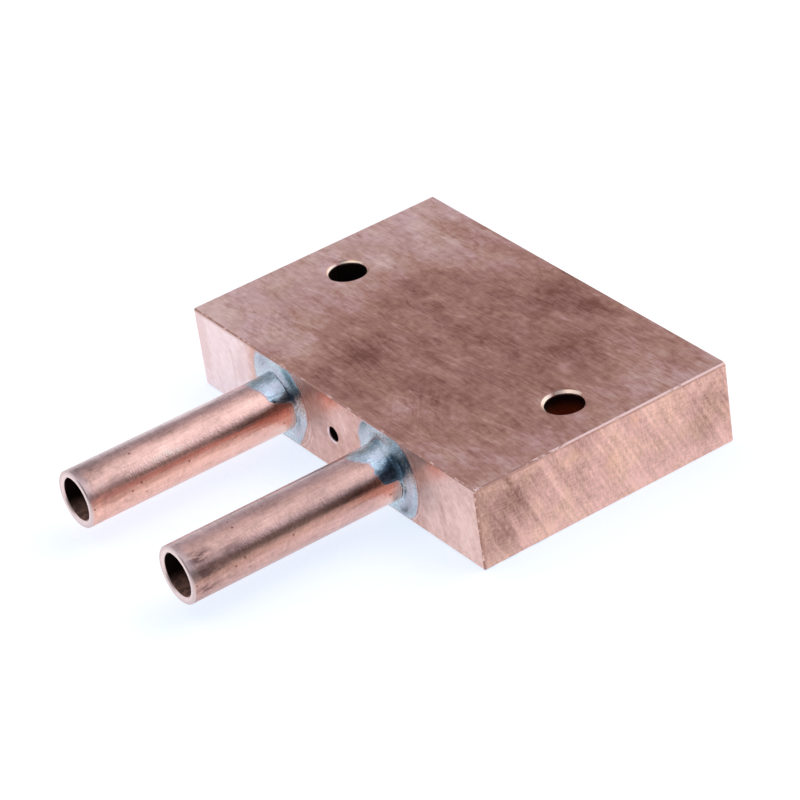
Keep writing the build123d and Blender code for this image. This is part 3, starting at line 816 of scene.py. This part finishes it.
# How the two joints differ. Each curve is read round the pipe, as seen from the front, as pairs of an angle
# in degrees from +X and a length in millimetres:
#   pool    radius of the solder on the block's face
#   reach   how far the tinning runs out along the pipe
#   thick   how proud the pool stands on the face
#   round   width over which the pool's outer edge is rounded off
#   swell   how much thicker the tinning gets towards the block
#   fillet  radius of the hollow between tinning and pool
# "crease" is the angle between pipe and fillet where they meet. "lines" are dark lines that run along it,
# partly dirt and partly painted shade in the crease: angle, offset out from it, half length round the pipe,
# half width and strength. "pits" are small hollows:
# x, z, radius and depth.
# "marks" lie at an angle and a distance out along the pipe, or minus the distance out over the pool: angle,
# distance, half width round the pipe, half length, and then the strengths of teal bloom, lilac stain that is
# partly painted highlight, dark dirt that is partly painted shade, and navy that is partly tarnish and partly
# painted dark reflection and shade. Strengths left out are nought.
joints = {
    "inlet": dict(
        pool=(
            (5, 6.05), (20, 6.15), (34, 6.45), (48, 6.45), (62, 6.5), (90, 6.2), (118, 7.2), (133, 7.3),
            (148, 6.75), (160, 6.2), (180, 5.8), (215, 5.5), (245, 6.0), (270, 6.3), (294, 6.5), (308, 6.05),
            (327, 5.8), (347, 5.85),
        ),
        reach=(
            (0, 0.0), (18, 0.1), (22, 0.35), (26.5, 1.5), (31, 2.35), (40, 3.35), (44, 3.65), (57, 3.8),
            (71, 4.2), (90, 4.6), (113, 4.4), (140, 3.2), (160, 0.6), (180, 0.0), (270, 0.0),
        ),
        thick=(
            (0, 0.52), (30, 0.56), (70, 0.60), (92, 0.40), (115, 0.14), (240, 0.10), (290, 0.30), (330, 0.46),
        ),
        round=((0, 0.22), (60, 0.25), (110, 0.5), (200, 0.5), (290, 0.3), (330, 0.22)),
        swell=((0, 0.04), (60, 0.14), (100, 0.20), (150, 0.05), (270, 0.03)),
        fillet=((0, 0.05), (60, 0.06), (100, 0.16), (180, 0.10), (270, 0.06)),
        crease=38,
        lines=(
            (75, -0.03, 3.2, 0.07, 1.0), (98, 0.28, 1.7, 0.06, 0.9), (104, 0.60, 1.2, 0.05, 0.7),
            (40, 0.05, 2.0, 0.09, 1.0), (-12, -0.05, 1.6, 0.10, 0.8),
        ),
        pits=((-9.4, 2.5, 0.16, 0.12),),
        marks=(
            (100, 3.0, 2.6, 1.6, 1.0),
            (118, 1.2, 1.6, 1.4, 0.7),
            (82, 1.2, 1.3, 0.8, 0.5),
            (62, 1.6, 1.0, 1.3, 0, 1.3),
            (72, 3.0, 1.4, 0.9, 0, 0.5),
            (31, 1.0, 0.75, 2.3, 0, 0, 0, 0.95),
            (37, 3.0, 0.5, 0.5, 0.3, 0, 0.9),
            (30, -0.3, 1.6, 0.5, 0, 0, 0, 0.7),
            (78, -0.6, 2.2, 0.6, 0, 1.3),
            (126, -1.8, 3.4, 1.9, 0, 1.1, 0.40, 0.08),
            (46, -1.5, 1.8, 0.7, 0.7, 0, 0.35, 0.35),
            (66, -1.7, 1.8, 0.6, 0.8, 0, 0.25, 0.18),
            (12, -0.9, 2.2, 0.9, 0.2, 0.15, 0.1),
            (-14, -0.3, 1.0, 0.5, 0.4, 0, 0.3),
            (-40, -1.1, 3.2, 1.5, 0, 0.9),
            (-22, -0.5, 2.2, 0.35, 0, 0, 0.2, 0.35),
            (-54, -2.0, 0.9, 0.5, 0.9, 0, 0.2),
            (-30, -1.9, 1.6, 0.35, 0.5, 0, 0.3),
        ),
        seed=11,
    ),
    "outlet": dict(
        pool=(
            (-4, 6.66), (13, 6.8), (24, 6.76), (33, 6.77), (44, 6.9), (58, 6.6), (90, 6.2), (122, 7.1),
            (130, 7.15), (138, 6.9), (153, 6.5), (162, 5.95), (180, 5.8), (215, 5.7), (245, 6.0), (270, 6.3),
            (311, 6.98), (326, 6.86), (341, 6.7),
        ),
        reach=(
            (-5, 0.0), (5, 0.15), (10, 0.6), (12.5, 2.8), (26, 3.4), (37, 3.5), (48, 3.5), (63, 3.8),
            (73, 4.6), (93, 5.5), (115, 5.2), (135, 4.0), (165, 0.5), (185, 0.0), (270, 0.0),
        ),
        thick=(
            (0, 0.50), (30, 0.44), (70, 0.44), (95, 0.30), (120, 0.14), (240, 0.10), (290, 0.32), (330, 0.50),
        ),
        round=((0, 0.30), (60, 0.30), (110, 0.5), (200, 0.5), (290, 0.3), (330, 0.30)),
        swell=((-10, 0.05), (15, 0.30), (50, 0.36), (90, 0.30), (130, 0.12), (180, 0.04), (270, 0.03)),
        fillet=((-10, 0.14), (15, 0.7), (50, 1.15), (90, 0.95), (130, 0.35), (180, 0.12), (270, 0.10)),
        crease=10,
        lines=((-14, -0.05, 2.4, 0.10, 1.0), (8, -0.1, 1.6, 0.08, 0.7)),
        pits=((15.2, 5.2, 0.12, 0.05), (13.9, 2.9, 0.14, 0.06)),
        marks=(
            (112, 3.2, 2.6, 2.0, 1.0),
            (96, 1.4, 1.6, 1.2, 0.6),
            (66, 2.3, 0.55, 0.45, 0, 1.2),
            (70, 1.0, 1.1, 1.3, 0, 1.1),
            (85, 4.2, 1.3, 0.8, 0.4, 0.4),
            (12, 1.8, 0.3, 1.4, 0.7, 0, 0.2),
            (26, 1.3, 1.45, 2.6, 0, 0, 0, 2.2),
            (44, 0.7, 1.5, 1.1, 0, 0, 0, 1.1),
            (48, -0.5, 1.4, 0.9, 0, 0, 0, 0.62),
            (74, -0.4, 1.6, 0.8, 0, 0.3, 0, 0.08),
            (102, -0.3, 1.8, 1.0, 0, 0, 0, 0.85),
            (30, -0.5, 1.6, 0.8, 0, 0, 0, 0.8),
            (114, 2.4, 0.8, 2.0, 0, 0.7),
            (74, 2.8, 0.9, 0.9, 0, 0.6),
            (130, -3.0, 2.6, 1.4, 1.0, 0, 0.5, 0.42),
            (140, -1.5, 2.6, 1.1, 0, 0.7, 0, 0.08),
            (70, -1.6, 2.2, 0.8, 0.8, 0.2),
            (40, -1.4, 2.2, 0.8, 0.7, 0.2),
            (20, -1.2, 1.6, 0.4, 0.5, 0, 0.4),
            (-8, -1.3, 2.6, 0.9, 0, 0.9),
            (-14, -0.5, 1.8, 0.35, 0.5, 0, 0.6),
            (-42, -1.5, 2.4, 1.3, 0.1, 0.7, 0.2, 0.22),
            (-60, -1.6, 1.6, 0.7, 0.3, 0.3, 0.5, 0.3),
            (15, -2.35, 8.0, 0.22, 0.2, 0, 0.5),
        ),
        seed=23,
    ),
}
# Points of a joint's section in each of its parts, sections round the pipe, and the least angle between
# faces that stays sharp
section_points = dict(tongue=34, fillet=10, pool=44, rim=3)
turns = 640
sharp_angle = radians(50)
# The joints' unevenness, in millimetres: wavelength and height
unevenness = {"pool": (1.4, 0.05), "reach": (1.0, 0.12), "coarse": (2.4, 0.014), "fine": (0.8, 0.005)}
# Points over which it fades in from the tip, and out towards the rim
fade_points = dict(tip=10, rim=8)
# The least length of the tinning beyond the crease, and the least thickness of the pool
least_reach = 0.03 * MM
least_pool = 0.01 * MM
# How fast a mark fades with the square of the distance from its middle
mark_fade = 1.4


def round_curve(points, angles):
    """A closed smooth curve through (degrees, millimetres) points: a periodic cubic, in metres.

    Between two points it is Hermite's cubic, whose slope at each point is the average slope to both sides.
    """
    degrees, lengths = np.array(points, float).T
    place = np.radians(np.concatenate([degrees[-1:] - 360, degrees, degrees[:2] + 360]))
    value = np.concatenate([lengths[-1:], lengths, lengths[:2]]) * MM
    angles = np.where(angles >= place[1], angles, angles + 2 * pi)
    step = np.diff(place)
    slope = np.zeros_like(value)
    slope[1:-1] = (value[2:] - value[:-2]) / (place[2:] - place[:-2])
    slope[0] = slope[-3]
    slope[-1] = slope[2]
    k = np.clip(np.searchsorted(place, angles, side="right") - 1, 0, len(step) - 1)
    t = (angles - place[k]) / step[k]
    return (
        (2 * t**3 - 3 * t**2 + 1) * value[k]
        + (t**3 - 2 * t**2 + t) * step[k] * slope[k]
        + (3 * t**2 - 2 * t**3) * value[k + 1]
        + (t**3 - t**2) * step[k] * slope[k + 1]
    )


def ripple(kind, points, seed, waves=24):
    """Smooth unevenness in metres: the height times the mean of cosine waves that run in random directions.

    Each wave's length is between 1 / 1.4 and 1 / 0.6 of the wavelength.
    """
    wavelength, height = unevenness[kind]
    rng = np.random.default_rng(seed)
    direction = rng.normal(size=(waves, 3))
    length = np.linalg.norm(direction, axis=1)[:, None]
    direction *= (2 * pi / (wavelength * MM)) * rng.uniform(0.6, 1.4, (waves, 1)) / length
    phase = rng.uniform(0, 2 * pi, waves)
    return np.cos(points @ direction.T + phase).sum(-1) / np.sqrt(waves) * height * MM


def soft_step(value):
    """Smooth step from 0 to 1."""
    t = np.clip(value, 0, 1)
    return t * t * (3 - 2 * t)


def shares(part):
    """Even steps from 0 to 1 over a part of the section, without the 0 that the part before it ends on."""
    return np.linspace(0, 1, section_points[part] + 1)[None, 1:]


def ring_mesh(name, points):
    """A closed ring of quads from a grid of points: rows go round the ring, columns round its section."""
    rows, columns = points.shape[:2]
    row, column = np.meshgrid(np.arange(rows), np.arange(columns), indexing="ij")
    next_row = (row + 1) % rows
    next_column = (column + 1) % columns
    corners = [row * columns + column, row * columns + next_column]
    corners += [next_row * columns + next_column, next_row * columns + column]
    quads = np.stack(corners, -1).reshape(-1, 4)
    mesh = bpy.data.meshes.new(name)
    mesh.from_pydata(points.reshape(-1, 3).tolist(), [], quads.tolist())
    mesh.shade_smooth()
    mesh.set_sharp_from_angle(angle=sharp_angle)
    piece = bpy.data.objects.new(name, mesh)
    bpy.context.scene.collection.objects.link(piece)
    return piece


def solder_outline(joint, angle, solder):
    """The limits of a joint at each angle: its pool's edge, its reach, its crease, and its other curves.

    Edge and reach are uneven, and the pool stays on the block's face. The crease is where the fillet, an arc
    from the contact angle to the pool's slope, leaves the tinning.
    """
    rim = np.concatenate([np.cos(angle), np.zeros_like(angle), np.sin(angle)], 1) * pipe_radius
    curves = {key: round_curve(joint[key], angle) for key in ("thick", "round", "swell", "fillet")}
    pool_edge = round_curve(joint["pool"], angle) + ripple("pool", rim, joint["seed"])[:, None]
    face_limit = pipe_axis_z - block_low.z - solder.edge_margin
    pool_edge = np.minimum(pool_edge, face_limit / np.maximum(np.abs(np.sin(angle)), 1e-6))
    fillet = curves["fillet"]
    width = pool_edge - pipe_radius - solder.tongue_thickness - curves["swell"] - 0.7 * fillet
    rise = curves["thick"] - solder.edge_thickness
    curves["meet"] = pi / 2 - np.arctan(solder.pool_power * rise / width)
    crease = curves["thick"] + fillet * (np.sin(curves["meet"]) - sin(radians(joint["crease"])))
    reach = round_curve(joint["reach"], angle) + ripple("reach", rim, joint["seed"] + 1)[:, None]
    return pool_edge, np.maximum(reach, crease + least_reach), crease, curves


def solder_section(joint, angle, solder):
    """The closed section of a joint at each angle: radii from the pipe's axis, distances out of the face.

    It runs down the outside of the tinning from its tip. The tinning swells towards the block with the
    square of the distance. A hollow arc leads from it to the pool. The pool falls off as a power of the share
    of the way to its edge that is left, and its outer edge is rounded off as a parabola. The section goes
    down the rim, back along the face, and through the thin film in the socket to the tip again. It comes with
    the pool's edge, the reach, the crease, and the radius of the tinning's foot.
    """
    pool_edge, reach, crease, curves = solder_outline(joint, angle, solder)
    thick, fillet, meet = curves["thick"], curves["fillet"], curves["meet"]
    edge = solder.edge_thickness
    contact = radians(joint["crease"])
    level = 0 * angle

    down = np.linspace(0, 1, section_points["tongue"])[None, :]
    out = crease + (reach - crease) * (1 - down) ** 1.3
    skin = solder.tip_thickness + (solder.tongue_thickness - solder.tip_thickness) * np.sin(down * pi / 2)
    swollen = curves["swell"] * np.clip(1 - out / np.minimum(solder.swell_length, reach), 0, 1) ** 2
    tinning = pipe_radius + skin + swollen
    parts = [(tinning, out)]
    turn = contact + (meet - contact) * shares("fillet")
    hollow = tinning[:, -1:] + fillet * cos(contact) - fillet * np.cos(turn)
    parts.append((hollow, thick + fillet * (np.sin(meet) - np.sin(turn))))
    start = hollow[:, -1:]
    over = shares("pool")
    pool = start + (pool_edge - start) * over
    inward = np.clip((pool_edge - pool) / curves["round"], 0, 1)
    height = edge + (thick - edge) * (1 - over) ** solder.pool_power
    parts.append((pool, np.minimum(height, edge + thick * (1 - (1 - inward) ** 2))))
    rim = shares("rim")
    parts.append((pool_edge + 0 * rim, edge * (1 - rim) + level))

    socket = pipe_radius + solder.socket_clearance
    depth = pipe_high.y - block_low.y
    for radius, distance in ((socket, 0.0), (socket, -depth), (pipe_radius, -depth), (pipe_radius, 0.0)):
        parts.append((radius + level, distance + level))
    parts.append((pipe_radius + level, reach))
    radius, out = (np.concatenate(values, 1) for values in zip(*parts))
    return radius, out, pool_edge, reach, crease, tinning[:, -1:]


def solder_surface(name, solder):
    """One solder joint as a grid of points, with how fully each point is covered in solder, and its marks.

    The unevenness is added to the outside only: it pushes the tinning away from the pipe and the pool away
    from the face, and fades at the edges. Pits are Gaussian hollows in the pool. Cover rises from 0 at the
    tip and at the pool's edge to 1.
    """
    joint = joints[name]
    angle = np.linspace(0, 2 * pi, turns, endpoint=False)[:, None]
    radius, out, pool_edge, reach, crease, foot = solder_section(joint, angle, solder)
    column = np.arange(radius.shape[1])[None, :]
    outside = sum(section_points.values()) - 1
    on_pipe = column < section_points["tongue"]
    on_pool = (column >= section_points["tongue"]) & (column <= outside)
    beyond_fillet = column >= section_points["tongue"] + section_points["fillet"]
    before_rim = outside - section_points["rim"] - column
    fade = soft_step(column / fade_points["tip"]) * soft_step(before_rim / fade_points["rim"])
    points = np.stack([radius * np.cos(angle), -out, radius * np.sin(angle)], -1)
    rough = ripple("coarse", points, joint["seed"] + 2) + ripple("fine", points, joint["seed"] + 3)
    rough = rough * fade
    radius = radius + np.where(on_pipe, rough, 0)
    out = out + np.where(on_pool, rough, 0)
    x = pipe_axis_x[name] + radius * np.cos(angle)
    z = pipe_axis_z + radius * np.sin(angle)
    for pit_x, pit_z, pit_radius, pit_depth in joint["pits"]:
        near = np.exp(-(((x - pit_x * MM) ** 2 + (z - pit_z * MM) ** 2) / (pit_radius * MM) ** 2))
        out = out - np.where(on_pool & beyond_fillet, near * pit_depth * MM, 0)
    out = np.where(on_pool & (column < outside), np.maximum(out, least_pool), out)

    # On the right the tip is nearly sharp, and on the upper left the pool's edge is softer than elsewhere
    degrees = np.degrees(angle)
    soft_tip = solder.soft_tip * (0.15 + 0.85 * soft_step((degrees - 42) / 20))
    soft_edge = solder.soft_edge * (1 + 1.6 * soft_step((degrees - 100) / 40) * (angle < 1.25 * pi))
    tip_cover = np.clip((reach - out) / soft_tip, 0, 1)
    edge_cover = np.clip((pool_edge - radius) / soft_edge, 0, 1)
    cover = np.where(on_pipe, tip_cover, edge_cover)
    along = np.where(on_pipe, out, pipe_radius - radius)
    beyond = np.where(on_pipe, out - crease, foot - radius)
    marks = solder_marks(joint, angle, radius, along, beyond)
    return np.stack([x, block_low.y - out, z], -1), cover, marks


def solder_marks(joint, angle, radius, along, beyond):
    """The strengths of bloom, of stains and painted highlights, of dark specks and painted shade, and of navy
    painted dark reflection at each point, from 0 to 1.

    They are sums of soft spots, each a Gaussian. The third is no less than that of the dark lines along the
    crease, partly dirt and partly painted shade, which are Gaussians too.
    """
    marks = np.zeros((*radius.shape, 4))
    for degrees, distance, half_width, half_length, *strengths in joint["marks"]:
        sideways = turned_from(angle, degrees) * radius / MM / half_width
        spot = np.exp(-mark_fade * (sideways**2 + ((along / MM - distance) / half_length) ** 2))
        marks[..., : len(strengths)] += spot[..., None] * np.array(strengths)
    for degrees, offset, half_length, half_width, strength in joint["lines"]:
        sideways = turned_from(angle, degrees) * radius / MM / half_length
        near = sideways**2 + ((beyond / MM - offset) / half_width) ** 2
        marks[..., 2] = np.maximum(marks[..., 2], strength * np.exp(-mark_fade * near))
    return np.clip(marks, 0, 1)


def turned_from(angle, degrees):
    """The angles from a direction in degrees, the short way round."""
    return (angle - radians(degrees) + pi) % (2 * pi) - pi


class BuildSolderJoints(bpy.types.Operator):
    """Builds the solder at the root of each pipe: pool, fillet, tinning and the film in the socket"""

    bl_idname = "heat_exchanger.build_solder_joints"
    bl_label = "Build the solder joints"

    def execute(self, context):
        solder = context.scene.heat_exchanger_solder
        material = solder_material(solder)
        for name in joints:
            points, cover, marks = solder_surface(name, solder)
            piece = ring_mesh(f"{name}_solder", points)
            attribute = piece.data.attributes.new("cover", "FLOAT", "POINT")
            attribute.data.foreach_set("value", cover.astype(np.float32).ravel())
            attribute = piece.data.attributes.new("marks", "FLOAT_COLOR", "POINT")
            attribute.data.foreach_set("color", marks.astype(np.float32).ravel())
            piece.data.materials.append(material)
            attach(piece, "root")
            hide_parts(f"{name}_solder_joint")
        return {"FINISHED"}


class DressBlock(bpy.types.Operator):
    """Gives the copper block its sanded, milled and scratched faces"""

    bl_idname = "heat_exchanger.dress_block"
    bl_label = "Dress the block"

    def execute(self, context):
        dress("block", block_material(context.scene.heat_exchanger_copper))
        return {"FINISHED"}


class DressPipes(bpy.types.Operator):
    """Gives the two copper pipes their drawn and tarnished finish"""

    bl_idname = "heat_exchanger.dress_pipes"
    bl_label = "Dress the pipes"

    def execute(self, context):
        for name in pipe_boxes:
            dress(f"{name}_pipe", pipe_material(context.scene.heat_exchanger_copper, name))
        return {"FINISHED"}


class DressPlug(bpy.types.Operator):
    """Gives the plug in the left end its finish; the solder round it keeps the frame's own"""

    bl_idname = "heat_exchanger.dress_plug"
    bl_label = "Dress the plug"

    def execute(self, context):
        dress("channel_plug", plug_material(context.scene.heat_exchanger_copper))
        return {"FINISHED"}


def floor_material(studio):
    """White floor: the camera and the metal see its shadow colour plus a share of the light on it.

    Under the block it is plain and dark. At a grazing angle the metal sees the room mirrored in it.
    """
    material = bpy.data.materials.new("white floor")
    nodes = new_nodes(material)
    x, y, z = nodes.split(nodes.add("ShaderNodeTexCoord").outputs["Object"])
    inset = 0.4 * MM
    inside_x = nodes.math("LESS_THAN", nodes.math("ABSOLUTE", x), block_high.x - inset)
    inside_y = nodes.math("LESS_THAN", nodes.math("ABSOLUTE", y), block_high.y - inset)
    open_floor = nodes.math("SUBTRACT", 1.0, nodes.product(inside_x, inside_y))
    light_path = nodes.add("ShaderNodeLightPath").outputs
    mirrored = nodes.math("MAXIMUM", light_path["Is Glossy Ray"], light_path["Is Transmission Ray"])
    seen = nodes.product(nodes.math("MAXIMUM", light_path["Is Camera Ray"], mirrored), open_floor)
    lit = nodes.add("ShaderNodeBsdfDiffuse", {"Color": studio.lit_colour})
    glow = nodes.add("ShaderNodeEmission", {"Color": studio.shadow_colour, "Strength": 1.0})
    shown = nodes.add("ShaderNodeAddShader", {0: lit.outputs[0], 1: glow.outputs[0]})
    gloss = {"Color": studio.sheen_colour, "Roughness": studio.sheen_roughness}
    room = nodes.add("ShaderNodeBsdfGlossy", gloss)
    grazing = nodes.add("ShaderNodeFresnel", {"IOR": studio.sheen_index})
    share = nodes.product(grazing.outputs[0], mirrored)
    sheen = nodes.add("ShaderNodeMixShader", {0: share, 1: shown.outputs[0], 2: room.outputs[0]})
    bounce = nodes.add("ShaderNodeBsdfDiffuse", {"Color": studio.bounce_colour})
    both = nodes.add("ShaderNodeMixShader", {0: seen, 1: bounce.outputs[0], 2: sheen.outputs[0]})
    nodes.add("ShaderNodeOutputMaterial", {"Surface": both.outputs[0]})
    return material


# The two small lamps in the room, which only reflections show: direction, half sizes, and strength
glint_spots = (
    ((0.08, 0.88, 0.45), (0.36, 0.26, 0.45), 1.6),
    ((0.10, -0.45, 0.85), (0.50, 0.40, 0.35), 1.6),
)
# The lamps over the floor: position, and width and depth, in metres
key_stand = (0.17, 0.38, 0.6), (0.5, 0.36)
fill_stand = (0.0, 0.0, 0.8), (1.2, 1.2)


def studio_world(studio):
    """The room as the metal sees it, worked out from the direction; the camera sees it plain white.

    A bright ceiling, cut off along slanting lines towards the right, fades into grey walls on the left and at
    the back, which are brighter near the floor. There is a bright window in front on the left, and the right
    side is dark. Two small lamps, at the back and in front overhead, show in reflections only.
    """
    world = bpy.data.worlds.new("studio")
    nodes = new_nodes(world)
    direction = nodes.add("ShaderNodeTexCoord").outputs["Generated"]
    x, y, z = nodes.split(direction)
    height = nodes.math("MAXIMUM", z, 0.08)
    across = nodes.math("DIVIDE", x, height)
    back = nodes.math("DIVIDE", y, height)
    ceiling = nodes.product(
        nodes.fall(nodes.total((across, 1.0), (back, -2.2)), -0.1, 0.4),
        nodes.fall(nodes.math("SUBTRACT", across, back), 0.3, 1.7),
        nodes.step(z, 0.12, 0.42),
        nodes.step(x, -0.80, 0.40),
    )
    window = nodes.product(nodes.fall(x, -0.42, -0.10), nodes.fall(y, -0.20, 0.25))
    to_left = nodes.step(nodes.total((y, 0.6), (x, -1.0)), -0.15, 0.45)
    dark = nodes.product(nodes.step(x, 0.25, 0.55), nodes.band(y, -0.15, 0.22, 0.22))
    wall = nodes.mix(nodes.step(z, 0.05, 0.45), studio.low_wall_colour, studio.wall_colour)
    room = nodes.mix(to_left, studio.right_colour, wall)
    room = nodes.mix(nodes.fall(y, -0.45, 0.05), room, studio.right_colour)
    room = nodes.mix(dark, room, studio.dark_colour)
    room = nodes.mix(window, room, studio.window_colour)
    room = nodes.mix(ceiling, room, studio.softbox_colour)
    light_path = nodes.add("ShaderNodeLightPath").outputs
    glints = nodes.product(nodes.spots(direction, glint_spots), light_path["Is Glossy Ray"])
    room = nodes.mix(glints, room, studio.glint_colour)
    colour = nodes.mix(light_path["Is Camera Ray"], room, studio.background_colour)
    background = nodes.add("ShaderNodeBackground", {"Color": colour, "Strength": 1.0})
    nodes.add("ShaderNodeOutputWorld", {"Surface": background.outputs[0]})
    return world


def lay_floor(studio):
    """The floor: one square in the plane of the block's underside."""
    reach = studio.floor_reach
    corners = [(-reach, -reach, 0), (reach, -reach, 0), (reach, reach, 0), (-reach, reach, 0)]
    sheet = bpy.data.meshes.new("floor")
    sheet.from_pydata(corners, [], [(0, 1, 2, 3)])
    sheet.materials.append(floor_material(studio))
    floor = bpy.data.objects.new("floor", sheet)
    bpy.context.scene.collection.objects.link(floor)


def hang_lamp(name, power, colour, position, size):
    """A rectangular lamp that points at the middle of the floor, and that neither camera nor metal shows."""
    panel = bpy.data.lights.new(name, "AREA")
    panel.shape = "RECTANGLE"
    panel.size, panel.size_y = size
    panel.energy = power
    panel.color = colour
    lamp = bpy.data.objects.new(name, panel)
    lamp.location = position
    lamp.rotation_mode = "QUATERNION"
    lamp.rotation_quaternion = Vector(position).to_track_quat("Z", "Y")
    lamp.visible_camera = False
    lamp.visible_glossy = False
    bpy.context.scene.collection.objects.link(lamp)


def place_camera(studio):
    """The camera: it looks along the direction of its azimuth and elevation, rolled about that line."""
    azimuth, elevation = studio.camera_azimuth, studio.camera_elevation
    back = Vector((sin(azimuth) * cos(elevation), -cos(azimuth) * cos(elevation), sin(elevation)))
    level = back.to_track_quat("Z", "Y").to_matrix()
    turned = Matrix.Rotation(studio.camera_roll, 3, back) @ level
    camera = bpy.data.cameras.new("camera")
    camera.sensor_width = studio.sensor_width
    camera.lens = studio.camera_lens
    stand = bpy.data.objects.new("camera", camera)
    stand.matrix_world = Matrix.Translation(studio.camera_position) @ turned.to_4x4()
    bpy.context.scene.collection.objects.link(stand)
    bpy.context.scene.camera = stand


class BuildStudio(bpy.types.Operator):
    """Sets up the floor, the two lamps over it, the room that the metal reflects and the camera"""

    bl_idname = "heat_exchanger.build_studio"
    bl_label = "Build the studio"

    def execute(self, context):
        studio = context.scene.heat_exchanger_studio
        lay_floor(studio)
        hang_lamp("key", studio.key_power, studio.key_colour, *key_stand)
        hang_lamp("fill", studio.fill_power, studio.fill_colour, *fill_stand)
        context.scene.world = studio_world(studio)
        place_camera(studio)
        context.scene.view_settings.view_transform = "Standard"
        return {"FINISHED"}


class HeatExchangerPanel(bpy.types.Panel):
    """Lists the steps that dress the heat exchanger"""

    bl_idname = "VIEW3D_PT_heat_exchanger"
    bl_label = "Heat exchanger"
    bl_space_type = "VIEW_3D"
    bl_region_type = "UI"
    bl_category = "Heat exchanger"

    def draw(self, context):
        for step in steps:
            self.layout.operator(step.bl_idname)


steps = (BuildSolderJoints, DressBlock, DressPipes, DressPlug, BuildStudio)
settings = {
    "heat_exchanger_solder": SolderSettings,
    "heat_exchanger_copper": CopperSettings,
    "heat_exchanger_studio": StudioSettings,
}


def register():
    for kind in (*settings.values(), *steps, HeatExchangerPanel):
        bpy.utils.register_class(kind)
    for name, kind in settings.items():
        setattr(bpy.types.Scene, name, PointerProperty(type=kind))


def unregister():
    for name in settings:
        delattr(bpy.types.Scene, name)
    for kind in reversed((*settings.values(), *steps, HeatExchangerPanel)):
        bpy.utils.unregister_class(kind)


def main():
    register()
    make_scratch_group()
    make_speck_group()
    bpy.ops.heat_exchanger.build_solder_joints()
    bpy.ops.heat_exchanger.dress_block()
    bpy.ops.heat_exchanger.dress_pipes()
    bpy.ops.heat_exchanger.dress_plug()
    bpy.ops.heat_exchanger.build_studio()


if __name__ == "__main__":
    main()
